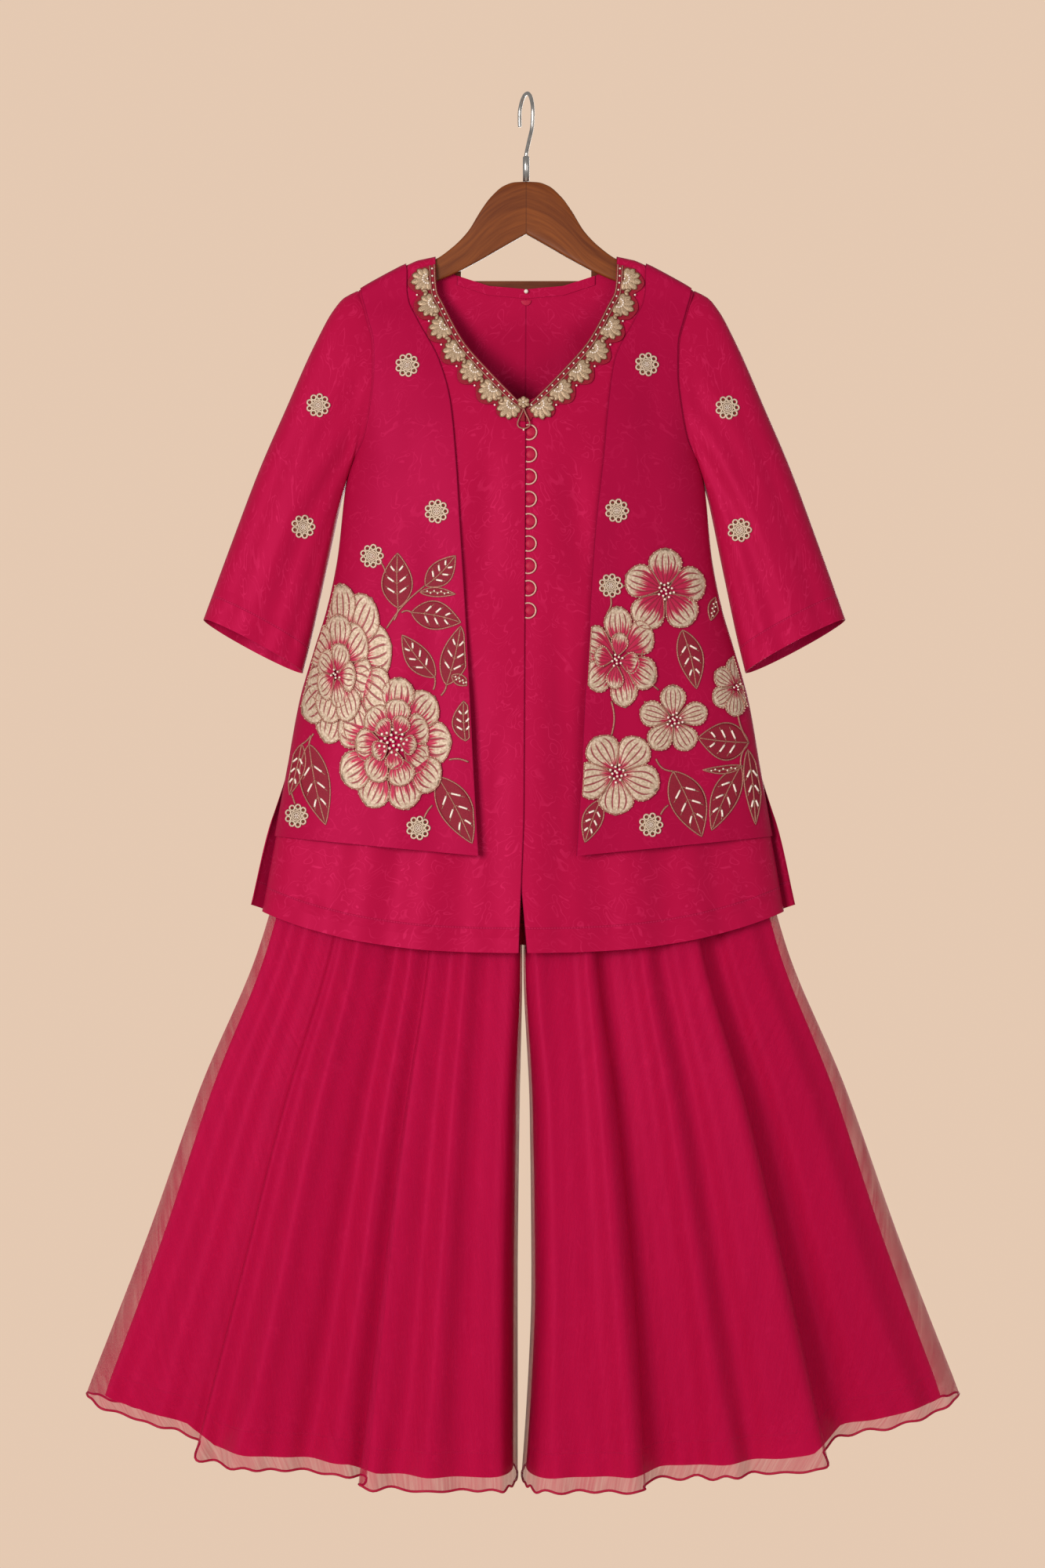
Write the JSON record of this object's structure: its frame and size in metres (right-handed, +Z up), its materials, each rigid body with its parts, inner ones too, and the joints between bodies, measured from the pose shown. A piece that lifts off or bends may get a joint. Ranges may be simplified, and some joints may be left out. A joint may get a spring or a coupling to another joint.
{
  "type": "palazzo suit on a hanger",
  "caption": "Hanging kurta tunic with open embroidered jacket fronts over wide palazzo trousers with a sheer overlay, on a wooden hanger with a steel hook.",
  "frame": {"origin": "the inner top of the hook, where it rests on a rod", "axes": "+Z up, -Y towards the viewer of the front, +X to the viewer's right"},
  "size_m": [0.9348, 0.2377, 1.4826],
  "materials": {
    "satin": "fuchsia satin with a tone-on-tone curling pattern",
    "jacket_satin": "slightly deeper magenta satin",
    "organza": "sheer organza with a rolled hem",
    "band": "dark crimson ground under gold embroidery",
    "gold_thread": "matt gold and ivory thread",
    "tape": "plain woven tape",
    "pearl": "pearl",
    "wood": "red-brown varnished wood",
    "steel": "bright steel wire"
  },
  "bodies": {
    "root": {"back_button": "pearl", "back_neck_facing": "satin", "back_tab": "satin", "button_1": "satin", "button_2": "satin", "button_3": "satin", "button_4": "satin", "button_5": "satin", "button_6": "satin", "button_7": "satin", "button_8": "satin", "button_9": "satin", "flower_left_1": "gold_thread", "flower_left_2": "gold_thread", "flower_right_1": "gold_thread", "flower_right_2": "gold_thread", "flower_right_3": "gold_thread", "flower_right_4": "gold_thread", "hanger_bar": "wood", "hanger_hook": "steel", "hanger_wood": "wood", "hanging_tape_left": "tape", "hanging_tape_right": "tape", "jacket_front_left": "jacket_satin", "jacket_front_right": "jacket_satin", "loop_1": "gold_thread", "loop_2": "gold_thread", "loop_3": "gold_thread", "loop_4": "gold_thread", "loop_5": "gold_thread", "loop_6": "gold_thread", "loop_7": "gold_thread", "loop_8": "gold_thread", "loop_9": "gold_thread", "neck_band_left": "band", "neck_band_right": "band", "organza_back_left": "organza", "organza_back_right": "organza", "organza_front_left": "organza", "organza_front_right": "organza", "satin_back_left": "satin", "satin_back_right": "satin", "satin_front_left": "satin", "satin_front_right": "satin", "sleeve_left": "satin", "sleeve_right": "satin", "tunic_back_left": "satin", "tunic_back_right": "satin", "tunic_front_left": "satin", "tunic_front_right": "satin", "waistband": "satin"}
  },
  "joints": []
}
